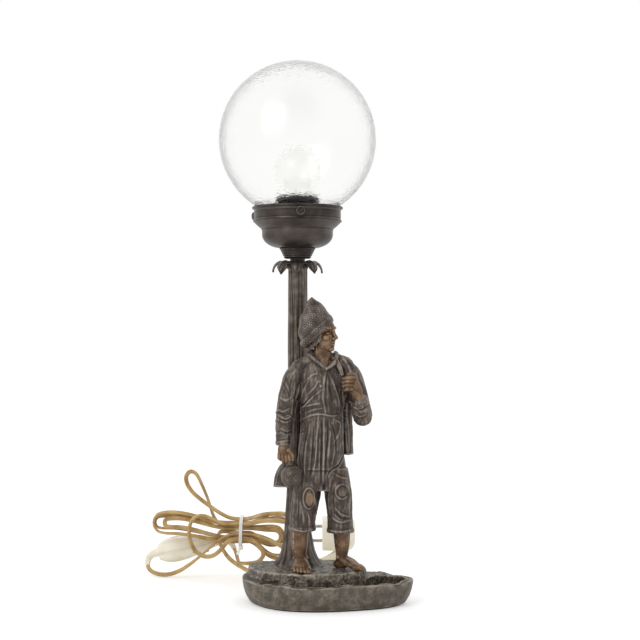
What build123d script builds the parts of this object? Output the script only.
"""Figural table lamp: a cast figure by a tree-trunk column that carries a glass globe.

Millimetres. The origin is on the column's axis, on the surface that the lamp stands on.
+Z is up, +X is to the viewer's right and +Y points away from the viewer.
"""

import os
from math import cos, dist, pi, radians, sin, sqrt, tan

from build123d import *

os.makedirs("parts", exist_ok=True)

# ---------------------------------------------------------------- driving dimensions

# Fits
RUN_FIT = 0.05  # radial, round parts that turn, slide or screw in a bore
AIR_GAP = 0.3  # between pieces of different bodies that rest close together

# Foot
FELT_T = 1.2
FELT_SHRINK = 0.86
RIM_Z = 25.0
LEDGE_Z = 35.0  # top of the rock that the figure and the trunk stand on
POOL_FLOOR_Z = 11.0
FOOT_SHRINK = 0.90
BELLY_SHRINK = 0.965
BELLY_Z = 11.0
BASE_MID = (29.0, -12.0)
RIM_OUTLINE = [
    (-56, 0),
    (-45, -37),
    (-19, -61),
    (28, -68),
    (70, -58),
    (104, -39),
    (114.5, -18),
    (102, 3),
    (70, 29),
    (20, 45),
    (-32, 36),
]
ROCK_FOOT_Z = 18.0
ROCK_TAPER = 0.96
ROCK_MID = (6.0, -8.0)
ROCK_OUTLINE = [
    (-51, 2),
    (-41, -31),
    (-15, -54),
    (22, -57),
    (54, -48),
    (68, -26),
    (66, 2),
    (50, 24),
    (15, 38),
    (-30, 31),
]
POOL_OUTLINE = [
    (-37, -39),
    (-16, -55.5),
    (28, -62.5),
    (68, -53),
    (98, -35.5),
    (107, -18),
    (96, -3),
    (78, 0),
    (68, -20),
    (52, -43),
    (24, -52),
    (-10, -49),
]

# Nut pocket under the trunk and the lead's way out at the back
POCKET_R = 19.0
POCKET_TOP_Z = 28.0
LEAD_Z = 10.0
LEAD_TURN = 125.0  # direction of the lead's way out, from +X
LEAD_FACE_R = 44.0  # spot face of the bushing, from the axis
BUSH_R = 4.5
BUSH_FLANGE_R = 6.6
BUSH_FLANGE_T = 2.0
BUSH_LENGTH = 12.0

# Tube, nut and washer
TUBE_R = 5.0
TUBE_BORE_R = 3.5
TUBE_FOOT_Z = 19.0
TUBE_TOP_Z = 366.0
WASHER_R = 13.0
WASHER_T = 2.0
NUT_FLATS = 14.0
NUT_T = 6.0

# Trunk
TRUNK_TOP_Z = 331.0
TRUNK_FLUTES = 6
TRUNK_RINGS = [  # height above the rock, mean radius, depth of the bark, set back
    (0, 24.5, 1.2, 8.5),
    (5, 20.6, 1.2, 6.5),
    (15, 16.6, 1.0, 3.4),
    (36, 12.8, 0.8, 1.2),
    (80, 10.3, 0.6, 0.0),
    (180, 9.6, 0.5, 0.0),
    (296, 9.3, 0.5, 0.0),
]

# Leaf collar
COLLAR_TOP_Z = 338.4
COLLAR_R = 10.8
LEAF_COUNT = 8
LEAF_REACH = 24.5
LEAF_T = 1.3
LEAF_HALF_WIDTH = 5.8
LEAF_TIP_Z = 327.0

# Ribbed cone
CONE_NECK_R = 7.5
CONE_NECK_T = 3.0
CONE_FOOT_R = 12.6
CONE_TOP_R = 17.8
CONE_RIBS = 5
CONE_RIB_H = 2.1
CONE_RIB_BULGE = 0.55

# Gallery
CUP_WALL = 1.2
CUP_FLOOR_R = 16.0
CUP_BOWL_R = 35.5
CUP_BOWL_Z = 13.5  # heights above the gallery's underside
CUP_STEP_Z = 18.6
CUP_SHOULDER_Z = 25.6
CUP_LIP_Z = 41.2
CUP_ROOM = 4.0  # between the globe's fitter and the outside of the gallery's band
CUP_BEAD_R = 0.9
CUP_LIP_R = 1.3
SCREW_COUNT = 3
SCREW_TURN = 274.5  # direction of the front screw, from +X
SCREW_R = 1.75
SCREW_HEAD_R = 4.4
SCREW_HEAD_T = 4.2
SCREW_HEAD_GAP = 2.4
SCREW_DROP = 7.7  # below the lip

# Globe
GLOBE_R = 78.5
GLOBE_WALL = 2.2
GLOBE_LIP_ROOM = 2.33  # the globe's outside is drawn in by this at the lip
FITTER_R = 39.4
FITTER_BEAD_R = 0.6

# Lampholder and bulb
HOLDER_CAP_R = 18.5
HOLDER_CAP_H = 18.0
HOLDER_R = 20.0
HOLDER_WALL = 1.6
HOLDER_SKIRT_H = 33.0
HOLDER_RING_R = 22.2
HOLDER_RING_T = 5.0
INSERT_H = 8.0
THREAD_R = 13.5
THREAD_WALL = 0.7
THREAD_H = 21.0
BULB_CAP_R = 13.2
BULB_CAP_H = 24.0
BULB_NECK_R = 12.2
BULB_R = 22.5
BULB_NECK_H = 8.0

# Figure, as cast sections: x, y, z and the half widths across x and y
FIGURE_TUNIC = [
    (22.5, -27, 132, 25.0, 17.5),
    (24.0, -27, 160, 23.0, 16.5),
    (24.0, -27, 187, 21.5, 15.5),
    (26.0, -27, 213, 26.0, 16.5),
    (24.5, -26, 231, 24.0, 12.5),
    (25.5, -26, 240, 13.0, 10.5),
]
FIGURE_HIPS = [
    (23.5, -27, 150, 22.0, 15.0),
    (24.5, -27, 128, 25.5, 14.0),
    (24.8, -27, 117, 26.5, 12.0),
]
TROUSER_LEFT = [
    (11.5, -27, 135, 12.5, 13.0),
    (9.7, -27, 112, 13.7, 13.0),
    (6.0, -27, 88, 12.8, 12.5),
    (5.0, -26.5, 74, 13.4, 13.0),
]
TROUSER_RIGHT = [
    (38.0, -26, 135, 12.5, 13.0),
    (40.0, -26, 112, 13.7, 13.0),
    (42.0, -25, 88, 12.8, 12.5),
    (42.6, -24, 71.5, 13.2, 12.5),
]
SHIN_LEFT = [
    (2.6, -26.5, 40, 7.2, 6.6),
    (2.4, -26.5, 50, 8.2, 8.0),
    (2.2, -26.5, 62, 9.0, 9.0),
    (2.6, -26.5, 74, 9.3, 9.4),
]
FOOT_LEFT_HEEL = (3.0, -21.0)
FOOT_LEFT_TOES = (5.5, -51.5)
SHIN_RIGHT = [
    (44.2, -19.5, 40, 5.8, 6.4),
    (44.2, -20.0, 50, 6.3, 7.0),
    (44.0, -20.5, 61, 8.0, 8.4),
    (43.8, -21.5, 71.5, 8.8, 9.2),
]
FOOT_RIGHT_HEEL = (37.0, -15.5)
FOOT_RIGHT_TOES = (67.5, -34.0)
FOOT_SHAPE = [  # share of the foot's length, half width, half height
    (0.0, 4.6, 4.2),
    (0.3, 7.6, 8.6),
    (0.72, 10.4, 5.2),
    (1.0, 8.2, 2.9),
]
HEAD = [
    (25.5, -26.0, 240, 10.2, 9.2),
    (26.5, -27.0, 251, 10.6, 9.6),
    (28.5, -28.5, 257, 14.4, 10.8),
    (26.5, -28.0, 264, 17.0, 13.4),
    (24.0, -27.0, 275, 18.8, 15.0),
    (22.5, -26.5, 287, 15.5, 13.0),
]
CAP = [
    (20.0, -26.0, 252, 18.8, 16.0),
    (21.5, -26.5, 268, 20.8, 17.2),
    (20.5, -26.5, 281, 18.4, 15.6),
    (16.5, -26.5, 293, 11.0, 10.0),
    (12.8, -26.5, 299.5, 4.0, 4.0),
]
HEAD_TURN = -25.0  # the face looks to the viewer's right
BRIM_MID = (21.8, -26.5, 267.5)
BRIM_TILT = 44.0
SLEEVE_HANGING = [
    (-13.7, -30.0, 158, 7.2, 8.0),
    (-12.2, -28.0, 176, 9.0, 9.6),
    (-10.0, -27.0, 196, 9.8, 10.6),
    (-4.5, -26.0, 224, 9.8, 11.6),
    (1.5, -26.0, 234, 7.0, 8.0),
]
HAND_HANGING = [
    (-13.2, -31.0, 158, 5.2, 5.6),
    (-12.2, -31.8, 149, 7.4, 6.0),
    (-10.4, -33.0, 140.5, 6.0, 4.8),
]
SLEEVE_BENT = [
    (64.5, -31.0, 185, 9.8, 10.0),
    (60.0, -28.5, 205, 10.0, 11.0),
    (53.5, -26.0, 226, 9.6, 11.6),
    (47.5, -26.0, 235.5, 7.0, 8.0),
]
ELBOW = (64.5, -31.0, 185.0)
ELBOW_R = 10.3
CUFF_BENT = (62.5, -43.0, 201.0)
CUFF_BENT_R = 7.6
WRIST_BENT = (57.0, -46.5, 209.0)
WRIST_BENT_R = 4.6
FIST = (50.5, -47.5, 216.8)
FIST_R = 7.4
COAT = [
    (50.0, -15.5, 145, 6.6, 9.0),
    (49.5, -15.0, 184, 5.6, 9.0),
    (49.0, -14.0, 214, 7.0, 9.0),
    (40.0, -16.0, 237, 5.5, 7.0),
]
JUG = (-4.5, -39.0, 127.8)
JUG_R = 11.1
JUG_NECK_R = 2.8
POUCH = [
    (-9.5, -21.5, 115, 14.8, 5.4),
    (-9.5, -21.5, 126, 13.2, 5.0),
    (-9.5, -21.8, 135, 9.4, 4.0),
    (-9.5, -22.6, 141, 3.6, 3.0),
]
STUD_R = 2.0
STUD_FOOT_Z = 22.0
STUD_TOP_Z = 46.0
STUD_PLACES = [(2.6, -26.0), (44.2, -20.5)]

# Cord
CORD_D = 4.4
CORD_R = CORD_D / 2
CORD_GAP = 0.4  # least gap of the hank to itself

# Hank: loops in two columns, drawn in at a waist that a tie holds
WAIST = (-63.0, 115.0, 50.0)
WAIST_HALF = 4.0  # the strands run straight this far on either side of the tie
ROW_STEP = 5.0
COLUMN_STEP = 6.0
LEFT_MID_Z = 61.0
RIGHT_MID_Z = 46.0
# Each turn: x of its centre, radius, column; each strand: column, row
RIGHT_TURNS = [(-27, 7, 0), (-24, 20, 0), (-22, 25, 1), (-28, 10, 1)]
LEFT_TURNS = [(-141, 4.8, 0), (-146, 11.6, 0), (-150, 7, 1)]
TOP_ROWS = [1, 2, 2, 1]
BOTTOM_STRANDS = [(0, -1), (1, -2), (1, -1)]
ENTRY_STRAND = (0, 0)

# Cable tie
TIE_WIDTH = 3.6
TIE_T = 1.1
TIE_GAP = 0.4
TIE_HEAD = (5.2, 5.0, 4.4)

# Dimmer on the cord
DIMMER_MID = (-121.5, 142.0, 31.5)
DIMMER_TILT = 11.0
DIMMER_LENGTH = 68.0
DIMMER_SHAPE = [  # share of the length, width, height
    (0.0, 18.0, 15.0),
    (0.08, 26.0, 21.0),
    (0.6, 26.0, 21.0),
    (1.0, 12.0, 10.0),
]
SLOT_LENGTH = 26.0
SLOT_WIDTH = 5.0
SLOT_DEPTH = 3.0
SLOT_U = -6.0
KNOB_LENGTH = 8.0
KNOB_WIDTH = 4.2
KNOB_RISE = 2.4
VENT_COUNT = 5
VENT_STEP = 7.0
DIMMER_SCREW_R = 2.2
DIMMER_SCREW_U = (-26.0, 18.0)

# Plug
PLUG_MID = (25.0, 222.0, 33.5)  # middle of the pin face
PLUG_R = 20.0
PLUG_LENGTH = 38.0
PLUG_EDGE_R = 5.0
PIN_R = 2.0
PIN_LENGTH = 19.0
PIN_PITCH = 19.0
PIN_SEAT = 10.0
PIN_TURN = 52.0
OUTLET_FOOT = (40.0, 222.0, 8.3)
OUTLET_TILT = 30.0
OUTLET_R = 5.0
OUTLET_LENGTH = 16.0

# ---------------------------------------------------------------- worked out from them

NUT_TOP_Z = POCKET_TOP_Z - WASHER_T
CONE_BASE_Z = COLLAR_TOP_Z + CONE_NECK_T
CUP_Z = CONE_BASE_Z + CONE_RIBS * CONE_RIB_H
CUP_FLOOR_TOP_Z = CUP_Z + CUP_WALL
CUP_R = FITTER_R + CUP_ROOM
LIP_Z = CUP_Z + CUP_LIP_Z
SCREW_Z = LIP_Z - SCREW_DROP
GLOBE_CENTRE_Z = LIP_Z + sqrt(GLOBE_R**2 - (CUP_R - GLOBE_LIP_ROOM) ** 2)
FITTER_TOP_Z = GLOBE_CENTRE_Z - sqrt(GLOBE_R**2 - FITTER_R**2)
SCREW_TIP_R = FITTER_R + FITTER_BEAD_R + AIR_GAP
SCREW_HEAD_FACE_R = CUP_R + SCREW_HEAD_GAP
HOLDER_SKIRT_Z = CUP_FLOOR_TOP_Z + HOLDER_CAP_H
INSERT_TOP_Z = HOLDER_SKIRT_Z + INSERT_H
BULB_TIP_Z = INSERT_TOP_Z + AIR_GAP
BULB_CAP_TOP_Z = BULB_TIP_Z + BULB_CAP_H
SHOULDER_RISE = (CUP_SHOULDER_Z - CUP_STEP_Z) / (CUP_R - CUP_BOWL_R)
SEAT_Z = CUP_Z + CUP_STEP_Z + CUP_WALL / 2 + SHOULDER_RISE * (FITTER_R - 0.6 - CUP_BOWL_R + CUP_WALL)
GLOBE_SEAT_Z = SEAT_Z + AIR_GAP
BULB_CENTRE_Z = BULB_CAP_TOP_Z + BULB_NECK_H + sqrt(BULB_R**2 - BULB_NECK_R**2)
OUTLET_DIR = (-cos(radians(OUTLET_TILT)), 0, -sin(radians(OUTLET_TILT)))
LEAD_DIR = (cos(radians(LEAD_TURN)), sin(radians(LEAD_TURN)))


def along_lead(reach, z=LEAD_Z):
    """A point on the lead's way out, at this distance from the column's axis."""
    return (LEAD_DIR[0] * reach, LEAD_DIR[1] * reach, z)


def save(builder, name):
    """Label a finished piece and write it."""
    builder.part.label = name
    export_step(builder.part, f"parts/{name}.step")


def stone_outline(points, middle, shrink, z):
    """A wavy outline of the foot at one height, drawn in towards its middle."""
    mid_x, mid_y = middle
    drawn_in = [(mid_x + shrink * (x - mid_x), mid_y + shrink * (y - mid_y)) for x, y in points]
    with BuildSketch(Plane.XY.offset(z)) as outline:
        with BuildLine():
            Spline(*drawn_in, periodic=True)
        make_face()
    return outline.sketch


def oval(x, y, z, half_x, half_y, turn=0.0):
    """A level oval section of a cast piece."""
    with BuildSketch(Plane.XY.offset(z)) as section:
        with Locations((x, y)):
            Ellipse(half_x, half_y, rotation=turn)
    return section.sketch


def ring_section(z, radius, bark, set_back):
    """The trunk's fluted outline at one height."""
    count = 3 * TRUNK_FLUTES
    points = []
    for k in range(count):
        turn = 2 * pi * k / count
        reach = radius + bark * cos(TRUNK_FLUTES * turn) + 0.4 * bark * sin(2 * turn + 0.6)
        points.append((reach * cos(turn), set_back + reach * sin(turn)))
    with BuildSketch(Plane.XY.offset(z)) as section:
        with BuildLine():
            Spline(*points, periodic=True)
        make_face()
    return section.sketch


def foot_sections(heel, toes):
    """Upright oval sections from the heel to the toes, a little into the ground."""
    length = sqrt((toes[0] - heel[0]) ** 2 + (toes[1] - heel[1]) ** 2)
    ahead = ((toes[0] - heel[0]) / length, (toes[1] - heel[1]) / length, 0)
    aside = (-ahead[1], ahead[0], 0)
    sections = []
    for share, half_width, half_height in FOOT_SHAPE:
        x = heel[0] + share * length * ahead[0]
        y = heel[1] + share * length * ahead[1]
        plane = Plane((x, y, LEDGE_Z + 0.7 * half_height), x_dir=aside, z_dir=ahead)
        with BuildSketch(plane) as section:
            Ellipse(half_width, half_height)
        sections.append(section.sketch)
    return sections


def disc_at(point, direction, radius):
    """A round section across a limb."""
    with BuildSketch(Plane(point, z_dir=direction)) as section:
        Circle(radius)
    return section.sketch


# ---------------------------------------------------------------- figure

BRIM = Plane(BRIM_MID, x_dir=(0, 1, 0), z_dir=(-sin(radians(BRIM_TILT)), 0, cos(radians(BRIM_TILT))))

with BuildPart() as figure_tunic:
    loft(sections=[oval(*station) for station in FIGURE_TUNIC])

with BuildPart() as figure_trousers:
    loft(sections=[oval(*station) for station in FIGURE_HIPS])
    loft(sections=[oval(*station) for station in TROUSER_LEFT])
    loft(sections=[oval(*station) for station in TROUSER_RIGHT])
    add(figure_tunic.part, mode=Mode.SUBTRACT)

with BuildPart() as figure_head:
    loft(sections=[oval(*station, HEAD_TURN) for station in HEAD])
    split(bisect_by=BRIM, keep=Keep.BOTTOM)

with BuildPart() as figure_cap:
    loft(sections=[oval(*station, HEAD_TURN) for station in CAP])
    split(bisect_by=BRIM, keep=Keep.TOP)

with BuildPart() as figure_leg_left:
    loft(sections=[oval(*station) for station in SHIN_LEFT])
    loft(sections=foot_sections(FOOT_LEFT_HEEL, FOOT_LEFT_TOES))
    split(bisect_by=Plane.XY.offset(LEDGE_Z), keep=Keep.TOP)
    with Locations((*STUD_PLACES[0], LEDGE_Z)):
        Cylinder(
            STUD_R + RUN_FIT,
            STUD_TOP_Z - LEDGE_Z,
            align=(Align.CENTER, Align.CENTER, Align.MIN),
            mode=Mode.SUBTRACT,
        )

with BuildPart() as figure_leg_right:
    loft(sections=[oval(*station) for station in SHIN_RIGHT])
    loft(sections=foot_sections(FOOT_RIGHT_HEEL, FOOT_RIGHT_TOES))
    split(bisect_by=Plane.XY.offset(LEDGE_Z), keep=Keep.TOP)
    with Locations((*STUD_PLACES[1], LEDGE_Z)):
        Cylinder(
            STUD_R + RUN_FIT,
            STUD_TOP_Z - LEDGE_Z,
            align=(Align.CENTER, Align.CENTER, Align.MIN),
            mode=Mode.SUBTRACT,
        )

with BuildPart() as figure_studs:
    with Locations(*[(x, y, STUD_FOOT_Z) for x, y in STUD_PLACES]):
        Cylinder(STUD_R, STUD_TOP_Z - STUD_FOOT_Z, align=(Align.CENTER, Align.CENTER, Align.MIN))

with BuildPart() as figure_sleeve_hanging:
    loft(sections=[oval(*station) for station in SLEEVE_HANGING])
    add(figure_tunic.part, mode=Mode.SUBTRACT)

with BuildPart() as figure_hand_hanging:
    loft(sections=[oval(*station) for station in HAND_HANGING])
    add(figure_tunic.part, mode=Mode.SUBTRACT)

with BuildPart() as figure_sleeve_bent:
    loft(sections=[oval(*station) for station in SLEEVE_BENT])
    with Locations(ELBOW):
        Sphere(ELBOW_R)
    forearm = Vector(*CUFF_BENT) - Vector(*ELBOW)
    loft(sections=[disc_at(ELBOW, forearm, ELBOW_R - 0.4), disc_at(CUFF_BENT, forearm, CUFF_BENT_R)])
    add(figure_tunic.part, mode=Mode.SUBTRACT)

with BuildPart() as figure_hand_bent:
    wrist = Vector(*WRIST_BENT) - Vector(*CUFF_BENT)
    knuckles = Vector(*FIST) - Vector(*WRIST_BENT)
    loft(
        sections=[
            disc_at(CUFF_BENT, forearm, WRIST_BENT_R + 1.4),
            disc_at(WRIST_BENT, wrist, WRIST_BENT_R),
            disc_at(FIST, knuckles, FIST_R - 1.6),
        ]
    )
    with Locations(FIST):
        Sphere(FIST_R)
    add(figure_tunic.part, mode=Mode.SUBTRACT)
    add(figure_sleeve_bent.part, mode=Mode.SUBTRACT)

with BuildPart() as figure_coat:
    loft(sections=[oval(*station) for station in COAT])
    add(figure_tunic.part, mode=Mode.SUBTRACT)
    add(figure_sleeve_bent.part, mode=Mode.SUBTRACT)

with BuildPart() as figure_jug:
    with Locations(JUG):
        Sphere(JUG_R)
    handle = Vector(*HAND_HANGING[-1][:3]) - Vector(*JUG)
    loft(
        sections=[
            disc_at(Vector(*JUG) + handle * 0.4, handle, JUG_NECK_R + 0.8),
            disc_at(Vector(*JUG) + handle * 1.05, handle, JUG_NECK_R),
        ]
    )
    add(figure_hand_hanging.part, mode=Mode.SUBTRACT)
    add(figure_tunic.part, mode=Mode.SUBTRACT)
    add(figure_trousers.part, mode=Mode.SUBTRACT)

with BuildPart() as figure_pouch:
    loft(sections=[oval(*station) for station in POUCH])
    add(figure_tunic.part, mode=Mode.SUBTRACT)
    add(figure_trousers.part, mode=Mode.SUBTRACT)
    add(figure_hand_hanging.part, mode=Mode.SUBTRACT)
    add(figure_jug.part, mode=Mode.SUBTRACT)

# ---------------------------------------------------------------- stand

with BuildPart() as base:
    loft(
        sections=[
            stone_outline(RIM_OUTLINE, BASE_MID, FOOT_SHRINK, FELT_T),
            stone_outline(RIM_OUTLINE, BASE_MID, BELLY_SHRINK, BELLY_Z),
            stone_outline(RIM_OUTLINE, BASE_MID, 1.0, RIM_Z),
        ]
    )
    loft(
        sections=[
            stone_outline(ROCK_OUTLINE, ROCK_MID, 1.0, ROCK_FOOT_Z),
            stone_outline(ROCK_OUTLINE, ROCK_MID, ROCK_TAPER, LEDGE_Z),
        ]
    )
    with BuildSketch(Plane.XY.offset(POOL_FLOOR_Z)):
        add(stone_outline(POOL_OUTLINE, BASE_MID, 1.0, 0))
    extrude(amount=LEDGE_Z, mode=Mode.SUBTRACT)
    with Locations((0, 0, FELT_T)):
        Cylinder(
            POCKET_R,
            POCKET_TOP_Z - FELT_T,
            align=(Align.CENTER, Align.CENTER, Align.MIN),
            mode=Mode.SUBTRACT,
        )
        Cylinder(
            TUBE_R + RUN_FIT,
            LEDGE_Z,
            align=(Align.CENTER, Align.CENTER, Align.MIN),
            mode=Mode.SUBTRACT,
        )
    with BuildSketch(Plane(along_lead(0), z_dir=(*LEAD_DIR, 0))):
        Circle(BUSH_R + RUN_FIT)
    extrude(amount=LEAD_FACE_R + 20, mode=Mode.SUBTRACT)
    with BuildSketch(Plane(along_lead(LEAD_FACE_R), z_dir=(*LEAD_DIR, 0))):
        Circle(BUSH_FLANGE_R + 1)
    extrude(amount=20, mode=Mode.SUBTRACT)
    with Locations(*[(x, y, STUD_FOOT_Z) for x, y in STUD_PLACES]):
        Cylinder(
            STUD_R + RUN_FIT,
            LEDGE_Z,
            align=(Align.CENTER, Align.CENTER, Align.MIN),
            mode=Mode.SUBTRACT,
        )

with BuildPart() as felt_pad:
    with BuildSketch():
        add(stone_outline(RIM_OUTLINE, BASE_MID, FELT_SHRINK, 0))
    extrude(amount=FELT_T)

with BuildPart() as cord_bushing:
    with BuildSketch(Plane(along_lead(LEAD_FACE_R), z_dir=(*LEAD_DIR, 0))):
        Circle(BUSH_FLANGE_R)
    extrude(amount=BUSH_FLANGE_T)
    with BuildSketch(Plane(along_lead(LEAD_FACE_R), z_dir=(*LEAD_DIR, 0))):
        Circle(BUSH_R)
    extrude(amount=-BUSH_LENGTH)
    with BuildSketch(Plane(along_lead(LEAD_FACE_R - BUSH_LENGTH), z_dir=(*LEAD_DIR, 0))):
        Circle(CORD_R + RUN_FIT)
    extrude(amount=BUSH_LENGTH + BUSH_FLANGE_T, mode=Mode.SUBTRACT)
    fillet(
        cord_bushing.edges().filter_by(GeomType.CIRCLE).sort_by(Axis((0, 0, 0), (*LEAD_DIR, 0)))[-1],
        radius=0.8,
    )

with BuildPart() as trunk:
    loft(sections=[ring_section(LEDGE_Z + ring[0], *ring[1:]) for ring in TRUNK_RINGS], ruled=True)
    with Locations((0, 0, LEDGE_Z)):
        Cylinder(
            TUBE_R + RUN_FIT,
            TRUNK_TOP_Z,
            align=(Align.CENTER, Align.CENTER, Align.MIN),
            mode=Mode.SUBTRACT,
        )

with BuildPart() as base_washer:
    with BuildSketch(Plane.XY.offset(NUT_TOP_Z)):
        Circle(WASHER_R)
        Circle(TUBE_R + RUN_FIT, mode=Mode.SUBTRACT)
    extrude(amount=WASHER_T)

with BuildPart() as base_nut:
    with BuildSketch(Plane.XY.offset(NUT_TOP_Z - NUT_T)):
        RegularPolygon(NUT_FLATS / 2, 6, major_radius=False)
        Circle(TUBE_R + RUN_FIT, mode=Mode.SUBTRACT)
    extrude(amount=NUT_T)
    with BuildSketch(Plane.XZ) as nut_corners:
        with BuildLine():
            reach = NUT_FLATS / 2 / cos(radians(30))
            Polyline(
                (reach, NUT_TOP_Z - NUT_T),
                (reach, NUT_TOP_Z - NUT_T + 1),
                (NUT_FLATS / 2, NUT_TOP_Z - NUT_T),
                close=True,
            )
        make_face()
    revolve(axis=Axis.Z, mode=Mode.SUBTRACT)

with BuildPart() as threaded_tube:
    with BuildSketch(Plane.XY.offset(TUBE_FOOT_Z)):
        Circle(TUBE_R)
        Circle(TUBE_BORE_R, mode=Mode.SUBTRACT)
    extrude(amount=TUBE_TOP_Z - TUBE_FOOT_Z)

with BuildPart() as leaf:
    with BuildSketch(Plane.XZ):
        with BuildLine():
            leaf_top = Spline(
                (COLLAR_R - 1.5, COLLAR_TOP_Z - 2.0),
                (COLLAR_R + 6.0, COLLAR_TOP_Z - 0.6),
                (LEAF_REACH - 2.2, COLLAR_TOP_Z - 5.0),
                (LEAF_REACH, LEAF_TIP_Z),
                tangents=((1, 0.7), (0.15, -1)),
            )
            leaf_under = Spline(
                (COLLAR_R - 1.5, COLLAR_TOP_Z - 2.0 - LEAF_T),
                (COLLAR_R + 5.6, COLLAR_TOP_Z - 0.6 - LEAF_T),
                (LEAF_REACH - 3.3, COLLAR_TOP_Z - 5.8),
                (LEAF_REACH - LEAF_T * 0.7, LEAF_TIP_Z),
                tangents=((1, 0.7), (0.15, -1)),
            )
            Line(leaf_top @ 0, leaf_under @ 0)
            Line(leaf_top @ 1, leaf_under @ 1)
        make_face()
    extrude(amount=LEAF_HALF_WIDTH, both=True)
    with BuildSketch(Plane.XY.offset(LEAF_TIP_Z - 1)):
        with BuildLine():
            side = Spline(
                (COLLAR_R - 1.5, 3.0),
                (COLLAR_R + 5.5, LEAF_HALF_WIDTH),
                (LEAF_REACH + 0.4, 0.4),
                tangents=((1, 0.9), (0.75, -1)),
            )
            Line(side @ 1, (LEAF_REACH + 0.4, -0.4))
            mirror(side, about=Plane.XZ)
            Line((COLLAR_R - 1.5, -3.0), side @ 0)
        make_face()
    extrude(amount=COLLAR_TOP_Z - LEAF_TIP_Z + 2, mode=Mode.INTERSECT)

with BuildPart() as leaf_collar:
    with BuildSketch(Plane.XY.offset(TRUNK_TOP_Z)):
        Circle(COLLAR_R)
    extrude(amount=COLLAR_TOP_Z - TRUNK_TOP_Z)
    with PolarLocations(0, LEAF_COUNT):
        add(leaf.part)
    with BuildSketch(Plane.XY.offset(TRUNK_TOP_Z)):
        Circle(TUBE_R + RUN_FIT)
    extrude(amount=COLLAR_TOP_Z - TRUNK_TOP_Z, mode=Mode.SUBTRACT)

# ---------------------------------------------------------------- gallery

with BuildPart() as neck_cone:
    with BuildSketch(Plane.XZ):
        with BuildLine():
            bore = TUBE_R + RUN_FIT
            Polyline(
                (bore, CUP_Z),
                (bore, COLLAR_TOP_Z),
                (CONE_NECK_R, COLLAR_TOP_Z),
                (CONE_NECK_R, CONE_BASE_Z),
                (CONE_FOOT_R, CONE_BASE_Z),
            )
            step_r = (CONE_TOP_R - CONE_FOOT_R) / CONE_RIBS
            for rib in range(CONE_RIBS):
                low = (CONE_FOOT_R + rib * step_r, CONE_BASE_Z + rib * CONE_RIB_H)
                high = (low[0] + step_r, low[1] + CONE_RIB_H)
                bulge = ((low[0] + high[0]) / 2 + CONE_RIB_BULGE, (low[1] + high[1]) / 2)
                ThreePointArc(low, bulge, high)
            Line((CONE_TOP_R, CUP_Z), (bore, CUP_Z))
        make_face()
    revolve(axis=Axis.Z)


def gallery_profile(inset):
    """Half outline of the gallery, drawn in by the wall where it is the inner face."""
    floor = CUP_Z + inset
    with BuildSketch(Plane.XZ) as outline:
        with BuildLine():
            Line((0, floor), (CUP_FLOOR_R, floor))
            bowl = TangentArc(
                (CUP_FLOOR_R, floor), (CUP_BOWL_R - inset, CUP_Z + CUP_BOWL_Z), tangent=(1, 0)
            )
            Line(bowl @ 1, (CUP_BOWL_R - inset, CUP_Z + CUP_STEP_Z + 0.5 * inset))
            Line(
                (CUP_BOWL_R - inset, CUP_Z + CUP_STEP_Z + 0.5 * inset),
                (CUP_R - inset, CUP_Z + CUP_SHOULDER_Z + 0.5 * inset),
            )
            Line((CUP_R - inset, CUP_Z + CUP_SHOULDER_Z + 0.5 * inset), (CUP_R - inset, LIP_Z))
            Polyline((CUP_R - inset, LIP_Z), (0, LIP_Z), (0, floor))
        make_face()
        if not inset:
            with Locations((CUP_R, CUP_Z + CUP_SHOULDER_Z + 1.4 * CUP_BEAD_R)):
                Circle(CUP_BEAD_R)
            with Locations((CUP_R + CUP_LIP_R - 0.5, LIP_Z - CUP_LIP_R)):
                Circle(CUP_LIP_R)
    return outline.sketch


with BuildPart() as gallery:
    add(gallery_profile(0))
    revolve(axis=Axis.Z)
    add(gallery_profile(CUP_WALL))
    revolve(axis=Axis.Z, mode=Mode.SUBTRACT)
    with BuildSketch(Plane.XY.offset(CUP_Z)):
        Circle(TUBE_R + RUN_FIT)
    extrude(amount=CUP_WALL, mode=Mode.SUBTRACT)
    with PolarLocations(0, SCREW_COUNT, start_angle=SCREW_TURN):
        with Locations(Location((CUP_R - 3, 0, SCREW_Z), (0, 90, 0))):
            Cylinder(
                SCREW_R + RUN_FIT,
                8,
                align=(Align.CENTER, Align.CENTER, Align.MIN),
                mode=Mode.SUBTRACT,
            )

SCREW_NAMES = ["gallery_screw_front", "gallery_screw_back", "gallery_screw_left"]
for index, screw_name in enumerate(SCREW_NAMES):
    turn = SCREW_TURN + index * 360 / SCREW_COUNT
    outward = (cos(radians(turn)), sin(radians(turn)), 0)
    tip = (SCREW_TIP_R * outward[0], SCREW_TIP_R * outward[1], SCREW_Z)
    with BuildPart() as gallery_screw:
        with BuildSketch(Plane(tip, z_dir=outward)):
            Circle(SCREW_R)
        extrude(amount=SCREW_HEAD_FACE_R - SCREW_TIP_R)
        with BuildSketch(Plane(tip, z_dir=outward).offset(SCREW_HEAD_FACE_R - SCREW_TIP_R)):
            RegularPolygon(SCREW_HEAD_R, 16)
        extrude(amount=SCREW_HEAD_T)
        with BuildSketch(
            Plane(tip, z_dir=outward).offset(SCREW_HEAD_FACE_R - SCREW_TIP_R + SCREW_HEAD_T)
        ):
            Circle(SCREW_HEAD_R - 1.3)
        extrude(amount=-1.6, taper=20, mode=Mode.SUBTRACT)
    save(gallery_screw, screw_name)

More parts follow.
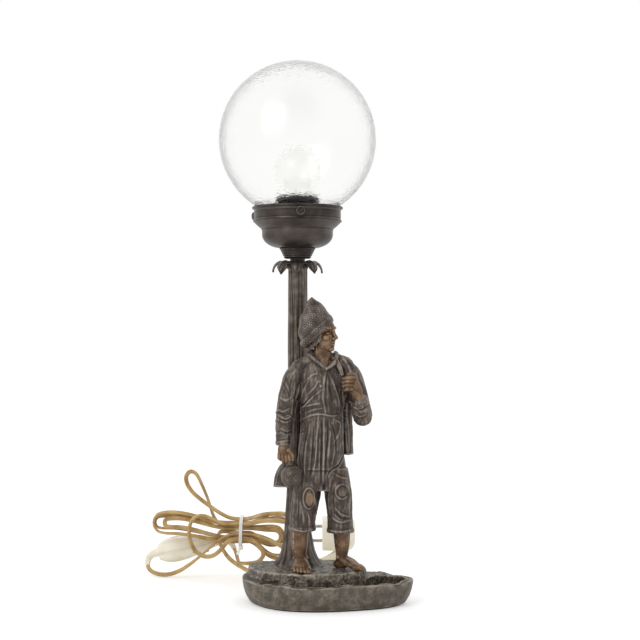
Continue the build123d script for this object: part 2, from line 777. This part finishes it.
with BuildPart() as blown_globe:
    with BuildSketch(Plane.XZ):
        with BuildLine():
            inner_r = GLOBE_R - GLOBE_WALL
            inner_neck = FITTER_R - GLOBE_WALL
            inner_z = GLOBE_CENTRE_Z - sqrt(inner_r**2 - inner_neck**2)
            ThreePointArc(
                (FITTER_R, FITTER_TOP_Z), (GLOBE_R, GLOBE_CENTRE_Z), (0, GLOBE_CENTRE_Z + GLOBE_R)
            )
            Line((0, GLOBE_CENTRE_Z + GLOBE_R), (0, GLOBE_CENTRE_Z + inner_r))
            ThreePointArc(
                (0, GLOBE_CENTRE_Z + inner_r), (inner_r, GLOBE_CENTRE_Z), (inner_neck, inner_z)
            )
            Line((inner_neck, inner_z), (inner_neck, GLOBE_SEAT_Z))
            Polyline(
                (inner_neck, GLOBE_SEAT_Z),
                (FITTER_R - 0.6, GLOBE_SEAT_Z),
                (FITTER_R + FITTER_BEAD_R, GLOBE_SEAT_Z + 1.2),
                (FITTER_R + FITTER_BEAD_R, GLOBE_SEAT_Z + 2.4),
                (FITTER_R, GLOBE_SEAT_Z + 3.6),
                (FITTER_R, FITTER_TOP_Z),
            )
        make_face()
    revolve(axis=Axis.Z)

with BuildPart() as globe:
    add(blown_globe.part)
    split(bisect_by=Plane.XY.offset(GLOBE_CENTRE_Z), keep=Keep.TOP)

with BuildPart() as globe_shoulder:
    add(blown_globe.part)
    split(bisect_by=Plane.XY.offset(GLOBE_CENTRE_Z), keep=Keep.BOTTOM)
    split(bisect_by=Plane.XY.offset(FITTER_TOP_Z), keep=Keep.TOP)

with BuildPart() as globe_fitter:
    add(blown_globe.part)
    split(bisect_by=Plane.XY.offset(FITTER_TOP_Z), keep=Keep.BOTTOM)

# ---------------------------------------------------------------- lampholder and bulb

with BuildPart() as holder_cap:
    with BuildSketch(Plane.XZ):
        with BuildLine():
            bore = TUBE_R + RUN_FIT
            Line((bore, CUP_FLOOR_TOP_Z), (9.0, CUP_FLOOR_TOP_Z))
            Line((9.0, CUP_FLOOR_TOP_Z), (9.0, CUP_FLOOR_TOP_Z + 6))
            ThreePointArc(
                (9.0, CUP_FLOOR_TOP_Z + 6),
                (HOLDER_CAP_R - 2.2, CUP_FLOOR_TOP_Z + 9.5),
                (HOLDER_CAP_R, HOLDER_SKIRT_Z),
            )
            Line((HOLDER_CAP_R, HOLDER_SKIRT_Z), (HOLDER_CAP_R - 2, HOLDER_SKIRT_Z))
            ThreePointArc(
                (HOLDER_CAP_R - 2, HOLDER_SKIRT_Z),
                (HOLDER_CAP_R - 4.4, CUP_FLOOR_TOP_Z + 11.5),
                (bore, CUP_FLOOR_TOP_Z + 8.5),
            )
            Line((bore, CUP_FLOOR_TOP_Z + 8.5), (bore, CUP_FLOOR_TOP_Z))
        make_face()
    revolve(axis=Axis.Z)

with BuildPart() as holder_skirt:
    with BuildSketch(Plane.XY.offset(HOLDER_SKIRT_Z)):
        Circle(HOLDER_R)
        Circle(HOLDER_R - HOLDER_WALL, mode=Mode.SUBTRACT)
    extrude(amount=HOLDER_SKIRT_H)
    with BuildSketch(Plane.XY.offset(HOLDER_SKIRT_Z)):
        Circle(HOLDER_R)
        Circle(HOLDER_CAP_R - 2, mode=Mode.SUBTRACT)
    extrude(amount=1.5)

with BuildPart() as holder_ring:
    with BuildSketch(Plane.XY.offset(HOLDER_SKIRT_Z + HOLDER_SKIRT_H - 2 - HOLDER_RING_T)):
        Circle(HOLDER_RING_R)
        Circle(HOLDER_R + RUN_FIT, mode=Mode.SUBTRACT)
    extrude(amount=HOLDER_RING_T)
    chamfer(holder_ring.edges().filter_by(GeomType.CIRCLE).group_by(SortBy.RADIUS)[-1], length=0.7)

with BuildPart() as holder_insert:
    with BuildSketch(Plane.XY.offset(HOLDER_SKIRT_Z + 1.5)):
        Circle(HOLDER_R - HOLDER_WALL - RUN_FIT)
    extrude(amount=INSERT_H - 1.5)
    with BuildSketch(Plane.XY.offset(HOLDER_SKIRT_Z)):
        Circle(HOLDER_CAP_R - 2 - RUN_FIT)
    extrude(amount=1.5)

with BuildPart() as holder_thread:
    with BuildSketch(Plane.XY.offset(INSERT_TOP_Z)):
        Circle(THREAD_R + THREAD_WALL)
        Circle(THREAD_R, mode=Mode.SUBTRACT)
    extrude(amount=THREAD_H)

with BuildPart() as bulb_cap:
    with BuildSketch(Plane.XZ):
        with BuildLine():
            Polyline(
                (0, BULB_CAP_TOP_Z),
                (0, BULB_TIP_Z),
                (4.5, BULB_TIP_Z),
                (6.0, BULB_TIP_Z + 1.5),
                (BULB_CAP_R - 1.2, BULB_TIP_Z + 5.0),
            )
            ridge_h = (BULB_CAP_H - 5.0) / 5
            for ridge in range(5):
                low_z = BULB_TIP_Z + 5.0 + ridge * ridge_h
                ThreePointArc(
                    (BULB_CAP_R - 1.2, low_z),
                    (BULB_CAP_R, low_z + ridge_h / 2),
                    (BULB_CAP_R - 1.2, low_z + ridge_h),
                )
            Line((BULB_CAP_R - 1.2, BULB_CAP_TOP_Z), (0, BULB_CAP_TOP_Z))
        make_face()
    revolve(axis=Axis.Z)

with BuildPart() as bulb_glass:
    with BuildSketch(Plane.XZ):
        with BuildLine():
            neck_z = BULB_CENTRE_Z - sqrt(BULB_R**2 - BULB_NECK_R**2)
            Polyline((0, BULB_CENTRE_Z + BULB_R), (0, BULB_CAP_TOP_Z), (BULB_NECK_R - 1, BULB_CAP_TOP_Z))
            Line((BULB_NECK_R - 1, BULB_CAP_TOP_Z), (BULB_NECK_R, neck_z))
            ThreePointArc(
                (BULB_NECK_R, neck_z), (BULB_R, BULB_CENTRE_Z), (0, BULB_CENTRE_Z + BULB_R)
            )
        make_face()
    revolve(axis=Axis.Z)

with BuildPart() as inner_lead:
    with BuildLine() as inner_route:
        FilletPolyline(
            along_lead(LEAD_FACE_R - BUSH_LENGTH + 4),
            along_lead(0),
            (0, 0, HOLDER_SKIRT_Z),
            radius=8.5,
        )
    with BuildSketch(Plane(inner_route.line @ 0, z_dir=inner_route.line % 0)):
        Circle(CORD_R)
    sweep()

# ---------------------------------------------------------------- write the stand and the figure

for builder, name in [
    (base, "base"),
    (felt_pad, "felt_pad"),
    (cord_bushing, "cord_bushing"),
    (trunk, "trunk"),
    (base_washer, "base_washer"),
    (base_nut, "base_nut"),
    (threaded_tube, "threaded_tube"),
    (leaf_collar, "leaf_collar"),
    (neck_cone, "neck_cone"),
    (gallery, "gallery"),
    (globe, "globe"),
    (globe_shoulder, "globe_shoulder"),
    (globe_fitter, "globe_fitter"),
    (holder_cap, "holder_cap"),
    (holder_skirt, "holder_skirt"),
    (holder_ring, "holder_ring"),
    (holder_insert, "holder_insert"),
    (holder_thread, "holder_thread"),
    (bulb_cap, "bulb_cap"),
    (bulb_glass, "bulb_glass"),
    (inner_lead, "inner_lead"),
    (figure_tunic, "figure_tunic"),
    (figure_trousers, "figure_trousers"),
    (figure_head, "figure_head"),
    (figure_cap, "figure_cap"),
    (figure_leg_left, "figure_leg_left"),
    (figure_leg_right, "figure_leg_right"),
    (figure_studs, "figure_studs"),
    (figure_sleeve_hanging, "figure_sleeve_hanging"),
    (figure_hand_hanging, "figure_hand_hanging"),
    (figure_sleeve_bent, "figure_sleeve_bent"),
    (figure_hand_bent, "figure_hand_bent"),
    (figure_coat, "figure_coat"),
    (figure_jug, "figure_jug"),
    (figure_pouch, "figure_pouch"),
]:
    save(builder, name)

# ---------------------------------------------------------------- cord

# Routes of the free stretches, along the photographed lie of the cord
LEAD_ROUTE = [
    along_lead(LEAD_FACE_R - BUSH_LENGTH + 4),
    along_lead(LEAD_FACE_R + 10),
    (-44, 60, 13.5),
    (-57, 77, 17.5),
    (-67.5, 94, 20),
    (-77, 111, 24),
    (-84.5, 124, 32),
    (-87.5, 130, 42),
    (-84.5, 126, 50.9),
    (-77, 115, 50),
    (-71.4, 115, 50),
]
TWIST_ROUTE = [
    (-71.4, 121, 55),
    (-77.5, 121, 55),
    (-87.5, 126.5, 57),
    (-94.5, 128, 67),
    (-98, 126.5, 80),
    (-102.5, 124, 93),
    (-107.5, 121, 105),
    (-111.5, 118.5, 114),
    (-118, 116, 117.5),
    (-123, 113.5, 112),
    (-121.5, 112, 103),
    (-115.5, 111.5, 94.5),
    (-107.5, 111.5, 87.5),
    (-97, 112, 79.5),
    (-85.5, 113.5, 71.5),
    (-73, 115, 65),
    (-54, 115, 65),
    (-41, 114.5, 70),
    (-25, 113.5, 71.5),
    (-9, 112.5, 69),
    (4, 108, 66),
    (9, 98, 64),
    (2, 89.5, 63.5),
    (-12, 89.5, 65),
    (-27, 94, 66.5),
    (-42, 101.5, 64.5),
    (-55, 109, 60),
    (-71.4, 109, 60),
]
RING_ROUTE = [
    (-71.4, 109, 60),
    (-83, 109, 60),
    (-94, 106.5, 67),
    (-105.5, 104.5, 71.5),
    (-115, 103, 67),
    (-118.5, 102, 56),
    (-117.5, 101.5, 44),
    (-112.5, 101.5, 33),
    (-104, 102, 26.5),
    (-93.5, 103, 26),
    (-84, 105.5, 33),
    (-75, 109, 45),
    (-53, 109, 45),
    (-43, 107.5, 38),
    (-37, 105, 28.5),
    (-43, 104, 20.5),
    (-54, 105, 18.5),
    (-64, 112, 17.5),
    (-67, 123, 18.5),
    (-69, 133, 24),
    (-74, 141, 34),
    (-80, 142, 39.6),
    (-88.1, 142, 38.0),
]
PLUG_ROUTE = [
    (-154.9, 142, 25.0),
    (-163, 142, 23.4),
    (-168, 139, 15),
    (-165.5, 134, 6.5),
    (-155, 127.5, 2.9),
    (-142, 122, 3.2),
    (-129, 118.5, 8.5),
    (-117, 114.5, 17),
    (-106, 112, 26),
    (-95, 110.5, 36),
    (-84.5, 109, 45),
    (-73, 109, 50),
    (-53, 109, 50),
    (-42, 107.5, 48),
    (-27, 104.5, 42),
    (-13, 103, 33.5),
    (0, 104, 24),
    (11, 110, 15.5),
    (19, 121, 9),
    (23, 136, 5),
    (23.5, 152, 3),
    (21, 168, 2.6),
    (18, 184, 2.5),
    (18, 199, 2.6),
    (22, 212, 2.7),
    tuple(Vector(*OUTLET_FOOT) + Vector(*OUTLET_DIR) * 9),
    OUTLET_FOOT,
]


def bend_radii(route):
    """The largest radius that the two runs at each corner allow."""
    radii = []
    for before, corner, after in zip(route, route[1:], route[2:]):
        run_in = Vector(*corner) - Vector(*before)
        run_out = Vector(*after) - Vector(*corner)
        turn = radians(run_in.get_angle(run_out))
        radii.append(0.45 * min(run_in.length, run_out.length) / tan(turn / 2))
    return radii


def free_stretch(route, name):
    """A round tube of straight runs and tangent arcs along a stretch of cord."""
    radii = bend_radii(route)
    with BuildPart() as stretch:
        with BuildLine() as path:
            FilletPolyline(*route, radius=radii)
        with BuildSketch(Plane(path.wire() @ 0, z_dir=path.wire() % 0)):
            Circle(CORD_R)
        sweep()
    length = path.wire().length
    share = stretch.part.volume / (pi * CORD_R**2 * length)
    print(name, "length", round(length), "volume share", round(share, 4), "radii", [round(r) for r in radii])
    save(stretch, name)
    return path.wire()


def slot(x, column, row):
    """A point where a strand passes the waist."""
    return (x, WAIST[1] + column * COLUMN_STEP, WAIST[2] + row * ROW_STEP)


def s_bend(start, end):
    """Two equal tangent arcs between strands that both run along X."""
    middle = tuple((a + b) / 2 for a, b in zip(start, end))
    ahead = 1 if end[0] > start[0] else -1
    TangentArc(start, middle, tangent=(ahead, 0, 0))
    TangentArc(middle, end, tangent=(-ahead, 0, 0), tangent_from_first=False)


waist_left = WAIST[0] - WAIST_HALF
waist_right = WAIST[0] + WAIST_HALF
strand_end = waist_left - CORD_D
with BuildPart() as cord_hank:
    with BuildLine() as hank_path:
        Line(slot(strand_end, *ENTRY_STRAND), slot(waist_left, *ENTRY_STRAND))
        strand = ENTRY_STRAND
        for turn_index, (turn_x, turn_r, column) in enumerate(RIGHT_TURNS):
            turn_y = WAIST[1] + column * COLUMN_STEP
            low = (turn_x, turn_y, RIGHT_MID_Z - turn_r)
            high = (turn_x, turn_y, RIGHT_MID_Z + turn_r)
            Line(slot(waist_left, *strand), slot(waist_right, *strand))
            s_bend(slot(waist_right, *strand), low)
            ThreePointArc(low, (turn_x + turn_r, turn_y, RIGHT_MID_Z), high)
            top = (column, TOP_ROWS[turn_index])
            s_bend(high, slot(waist_right, *top))
            Line(slot(waist_right, *top), slot(waist_left, *top))
            if turn_index < len(LEFT_TURNS):
                turn_x, turn_r, column = LEFT_TURNS[turn_index]
                turn_y = WAIST[1] + column * COLUMN_STEP
                high = (turn_x, turn_y, LEFT_MID_Z + turn_r)
                low = (turn_x, turn_y, LEFT_MID_Z - turn_r)
                strand = BOTTOM_STRANDS[turn_index]
                s_bend(slot(waist_left, *top), high)
                ThreePointArc(high, (turn_x - turn_r, turn_y, LEFT_MID_Z), low)
                s_bend(low, slot(waist_left, *strand))
        Line(slot(waist_left, *top), slot(strand_end, *top))
    with BuildSketch(Plane(hank_path.wire() @ 0, z_dir=hank_path.wire() % 0)):
        Circle(CORD_R)
    sweep()
hank_share = cord_hank.part.volume / (pi * CORD_R**2 * hank_path.wire().length)
print("cord_hank length", round(hank_path.wire().length), "volume share", round(hank_share, 4))
save(cord_hank, "cord_hank")

stretches = [
    ("cord_lead", free_stretch(LEAD_ROUTE, "cord_lead")),
    ("cord_hank", hank_path.wire()),
    ("cord_twist", free_stretch(TWIST_ROUTE, "cord_twist")),
    ("cord_ring", free_stretch(RING_ROUTE, "cord_ring")),
    ("cord_plug_lead", free_stretch(PLUG_ROUTE, "cord_plug_lead")),
]


def path_points(line, start, step=1.5):
    """Evenly spaced points along a path, each with its place along the whole cord."""
    count = int(line.length / step)
    return [(tuple(line @ (k / count)), start + k * line.length / count) for k in range(count + 1)]


def least_gap(first, second):
    """The least free distance between two stretches, or of one to itself."""
    spans = [
        dist(point, other)
        for point, place in first
        for other, other_place in second
        if abs(other_place - place) > 5 * CORD_D
    ]
    return min(spans) - CORD_D


cord_length = 0
sampled = []
for name, line in stretches:
    sampled.append((name, path_points(line, cord_length)))
    cord_length += line.length
print("whole cord", round(cord_length))
for k, (name, points) in enumerate(sampled):
    for other, other_points in sampled[k:]:
        print("least gap", name, other, round(least_gap(points, other_points), 2))

with BuildPart() as cable_tie:
    tie_low = min(row for column, row in BOTTOM_STRANDS)
    tie_high = max(TOP_ROWS) + 1
    tie_mid_z = WAIST[2] + ROW_STEP * (tie_low + tie_high) / 2
    tie_half_y = COLUMN_STEP + CORD_R + TIE_GAP
    tie_half_z = ROW_STEP * (tie_high - tie_low) / 2 + CORD_R + TIE_GAP
    tie_plane = Plane((WAIST[0] - TIE_WIDTH / 2, WAIST[1], tie_mid_z), x_dir=(0, 1, 0), z_dir=(1, 0, 0))
    with BuildSketch(tie_plane):
        RectangleRounded(2 * (tie_half_y + TIE_T), 2 * (tie_half_z + TIE_T), CORD_R + TIE_GAP + TIE_T)
        RectangleRounded(2 * tie_half_y, 2 * tie_half_z, CORD_R + TIE_GAP, mode=Mode.SUBTRACT)
    extrude(amount=TIE_WIDTH)
    with Locations((WAIST[0], WAIST[1] - tie_half_y + TIE_HEAD[1], tie_mid_z - tie_half_z - TIE_HEAD[2] / 2)):
        Box(*TIE_HEAD)
save(cable_tie, "cable_tie")

# ---------------------------------------------------------------- dimmer

tilt = radians(DIMMER_TILT)
DIMMER_ALONG = (cos(tilt), 0, sin(tilt))
DIMMER = Plane(DIMMER_MID, x_dir=DIMMER_ALONG, z_dir=(-sin(tilt), 0, cos(tilt)))
DIMMER_WIDTH, DIMMER_HEIGHT = DIMMER_SHAPE[1][1:]


def dimmer_shell(keep):
    """One half of the dimmer's housing, parted at its seam."""
    sections = []
    for share, width, height in DIMMER_SHAPE:
        middle = DIMMER.from_local_coords((DIMMER_LENGTH * (share - 0.5), 0, 0))
        with BuildSketch(Plane(middle, x_dir=(0, 1, 0), z_dir=DIMMER_ALONG)) as section:
            RectangleRounded(width, height, 0.28 * height)
        sections.append(section.sketch)
    with BuildPart() as shell:
        loft(sections=sections, ruled=False)
        split(bisect_by=DIMMER, keep=keep)
    return shell.part


with BuildPart() as dimmer_cover:
    add(dimmer_shell(Keep.TOP))
    with BuildSketch(DIMMER.offset(DIMMER_HEIGHT / 2 - SLOT_DEPTH)):
        with Locations((SLOT_U, 0)):
            Rectangle(SLOT_LENGTH, SLOT_WIDTH)
    extrude(amount=2 * SLOT_DEPTH, mode=Mode.SUBTRACT)
    with BuildSketch(DIMMER):
        with Locations(*[(u, 0) for u in DIMMER_SCREW_U]):
            Circle(DIMMER_SCREW_R + RUN_FIT)
    extrude(amount=DIMMER_HEIGHT / 4, mode=Mode.SUBTRACT)
save(dimmer_cover, "dimmer_cover")

with BuildPart() as dimmer_slider:
    with BuildSketch(DIMMER.offset(DIMMER_HEIGHT / 2 - SLOT_DEPTH + AIR_GAP)):
        with Locations((SLOT_U, 0)):
            Rectangle(KNOB_LENGTH, KNOB_WIDTH)
    extrude(amount=SLOT_DEPTH - AIR_GAP + KNOB_RISE)
    fillet(dimmer_slider.edges().group_by(Axis(DIMMER.origin, DIMMER.z_dir))[-1], radius=0.8)
save(dimmer_slider, "dimmer_slider")

with BuildPart() as dimmer_base:
    add(dimmer_shell(Keep.BOTTOM))
    with BuildSketch(DIMMER.offset(-DIMMER_HEIGHT / 2 - 1)):
        with Locations(*[(u, 0) for u in DIMMER_SCREW_U]):
            Circle(DIMMER_SCREW_R + RUN_FIT)
    extrude(amount=DIMMER_HEIGHT, mode=Mode.SUBTRACT)
    with BuildSketch(DIMMER.offset(-DIMMER_HEIGHT / 4 - 1.0)):
        with Locations((-DIMMER_LENGTH / 8, -DIMMER_WIDTH / 2)):
            with GridLocations(VENT_STEP, 1, VENT_COUNT, 1):
                SlotOverall(3.2, 2.4)
    extrude(amount=1.6, mode=Mode.SUBTRACT)
save(dimmer_base, "dimmer_base")

with BuildPart() as dimmer_screws:
    with BuildSketch(DIMMER.offset(-DIMMER_HEIGHT / 2 + 0.6)):
        with Locations(*[(u, 0) for u in DIMMER_SCREW_U]):
            Circle(DIMMER_SCREW_R)
    extrude(amount=DIMMER_HEIGHT * 0.72 - 0.6)
save(dimmer_screws, "dimmer_screws")

# ---------------------------------------------------------------- plug

PIN_FACE = Plane(PLUG_MID, x_dir=(0, 1, 0), z_dir=(1, 0, 0))
PIN_PLACES = [
    (side * PIN_PITCH / 2 * cos(radians(PIN_TURN)), side * PIN_PITCH / 2 * sin(radians(PIN_TURN)))
    for side in (-1, 1)
]

with BuildPart() as plug_body:
    with BuildSketch(PIN_FACE):
        Circle(PLUG_R)
    extrude(amount=PLUG_LENGTH)
    fillet(plug_body.edges().sort_by(Axis.X)[-1], radius=2 * PLUG_EDGE_R)
    fillet(plug_body.edges().sort_by(Axis.X)[0], radius=0.3 * PLUG_EDGE_R)
    with BuildSketch(Plane(OUTLET_FOOT, z_dir=OUTLET_DIR)):
        Circle(OUTLET_R)
    extrude(amount=-OUTLET_LENGTH)
    with BuildSketch(PIN_FACE):
        with Locations(*PIN_PLACES):
            Circle(PIN_R + RUN_FIT)
    extrude(amount=PIN_SEAT, mode=Mode.SUBTRACT)
save(plug_body, "plug_body")

with BuildPart() as plug_pins:
    with BuildSketch(PIN_FACE.offset(-PIN_LENGTH)):
        with Locations(*PIN_PLACES):
            Circle(PIN_R)
    extrude(amount=PIN_LENGTH + PIN_SEAT)
    fillet(plug_pins.edges().group_by(Axis.X)[0], radius=1.0)
save(plug_pins, "plug_pins")
